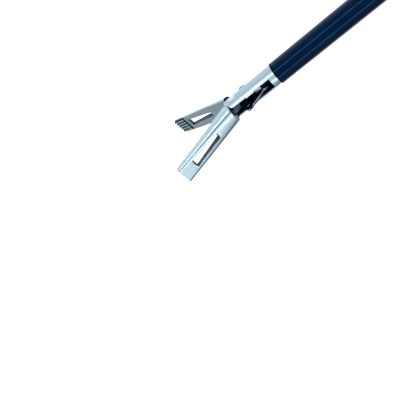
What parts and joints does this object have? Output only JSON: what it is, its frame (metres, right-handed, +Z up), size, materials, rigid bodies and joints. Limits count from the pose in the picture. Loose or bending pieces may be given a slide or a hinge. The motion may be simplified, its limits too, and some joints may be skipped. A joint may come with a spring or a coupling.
{
  "type": "laparoscopic grasper",
  "caption": "Ring-handled laparoscopic grasper with a slim insulated shaft and hinged, windowed jaws whose tip pads are ridged.",
  "frame": {"origin": "on the shaft's axis, at the back end of the insulated shaft, where it meets the turning knob", "axes": "+X runs back along the shaft to the handle, so the jaws point towards -X; +Z is up, and the handle hangs towards -Z; the jaws open in the XZ plane"},
  "size_m": [0.4614, 0.022, 0.1131],
  "materials": {
    "jaw_steel": "fine satin, brushed along the jaw",
    "clevis_steel": "satin, turned",
    "link_steel": "bright, stamped",
    "pin_steel": "polished rivets",
    "rod_steel": "drawn wire",
    "tube_steel": "drawn tube",
    "insulation": "glossy dark navy",
    "end_ring": "black",
    "knob_plastic": "fine grain, black",
    "handle_plastic": "fine grain, black",
    "lever_plastic": "fine grain, black",
    "bush_plastic": "natural bearing plastic",
    "seal_rubber": "silicone",
    "cap_plastic": "bearing plastic",
    "collar_plastic": "black",
    "ratchet_steel": "satin",
    "screw_steel": "bright",
    "contact_metal": "gold plated",
    "post_metal": "bright"
  },
  "bodies": {
    "handle": {"left_handle_half": "handle_plastic", "right_handle_half": "handle_plastic", "handle_screws": "screw_steel", "lever_screw": "screw_steel", "lever_nut": "screw_steel", "nose_bush": "bush_plastic", "pawl_pin": "screw_steel", "electrode_post": "post_metal", "post_collar": "collar_plastic", "contact_pin": "contact_metal"},
    "shaft": {"insulation_sleeve": "insulation", "outer_tube": "tube_steel", "sleeve_end_ring": "end_ring", "clevis": "clevis_steel", "jaw_pivot_pin": "pin_steel", "rotation_knob": "knob_plastic", "shaft_hub": "tube_steel", "hub_circlip": "screw_steel", "hub_o_ring": "seal_rubber", "rod_seal": "seal_rubber", "seal_cap": "cap_plastic"},
    "pull_rod": {"pull_rod": "rod_steel", "rod_end": "rod_steel", "rod_pin": "pin_steel", "rod_ball": "rod_steel"},
    "upper_jaw": {"upper_jaw": "jaw_steel", "upper_link_pin": "pin_steel"},
    "lower_jaw": {"lower_jaw": "jaw_steel", "lower_link_pin": "pin_steel"},
    "upper_link": {"upper_link": "link_steel"},
    "lower_link": {"lower_link": "link_steel"},
    "thumb_lever": {"thumb_lever": "lever_plastic", "lever_bush": "bush_plastic", "ratchet_bar": "ratchet_steel", "ratchet_bar_pin": "screw_steel"},
    "pawl": {"ratchet_pawl": "ratchet_steel"}
  },
  "joints": [
    {"name": "lever_swing", "type": "hinge", "parent": "handle", "child": "thumb_lever", "pos_m": [0.056, 0, -0.00622], "axis": [0, 1, 0], "range_deg": [0, 16]},
    {"name": "shaft_turn", "type": "hinge", "parent": "handle", "child": "shaft", "pos_m": [0, 0, 0], "axis": [1, 0, 0], "continuous": true},
    {"name": "rod_slide", "type": "slide", "parent": "shaft", "child": "pull_rod", "axis": [1, 0, 0], "range_m": [0, 0.00174]},
    {"name": "upper_jaw_swing", "type": "hinge", "parent": "shaft", "child": "upper_jaw", "pos_m": [-0.33, 0, 0], "axis": [0, 1, 0], "range_deg": [-28, 0]},
    {"name": "lower_jaw_swing", "type": "hinge", "parent": "shaft", "child": "lower_jaw", "pos_m": [-0.33, 0, 0], "axis": [0, 1, 0], "range_deg": [0, 28]},
    {"name": "upper_link_swing", "type": "hinge", "parent": "upper_jaw", "child": "upper_link", "pos_m": [-0.3277, 0, -0.0029], "axis": [0, 1, 0], "range_deg": [0, 44.75]},
    {"name": "lower_link_swing", "type": "hinge", "parent": "lower_jaw", "child": "lower_link", "pos_m": [-0.3277, 0, 0.0029], "axis": [0, 1, 0], "range_deg": [-44.75, 0]},
    {"name": "pawl_swing", "type": "hinge", "parent": "handle", "child": "pawl", "pos_m": [0.04217, 0, -0.03728], "axis": [0, 1, 0], "range_deg": [0, 8]}
  ],
  "couplings": [
    {"joint": "rod_slide", "follows": "lever_swing", "m_per_rad": 0.0062198},
    {"joint": "upper_jaw_swing", "follows": "lever_swing", "ratio": -1.75},
    {"joint": "lower_jaw_swing", "follows": "lever_swing", "ratio": 1.75},
    {"joint": "upper_link_swing", "follows": "lever_swing", "ratio": 2.7964},
    {"joint": "lower_link_swing", "follows": "lever_swing", "ratio": -2.7964}
  ]
}
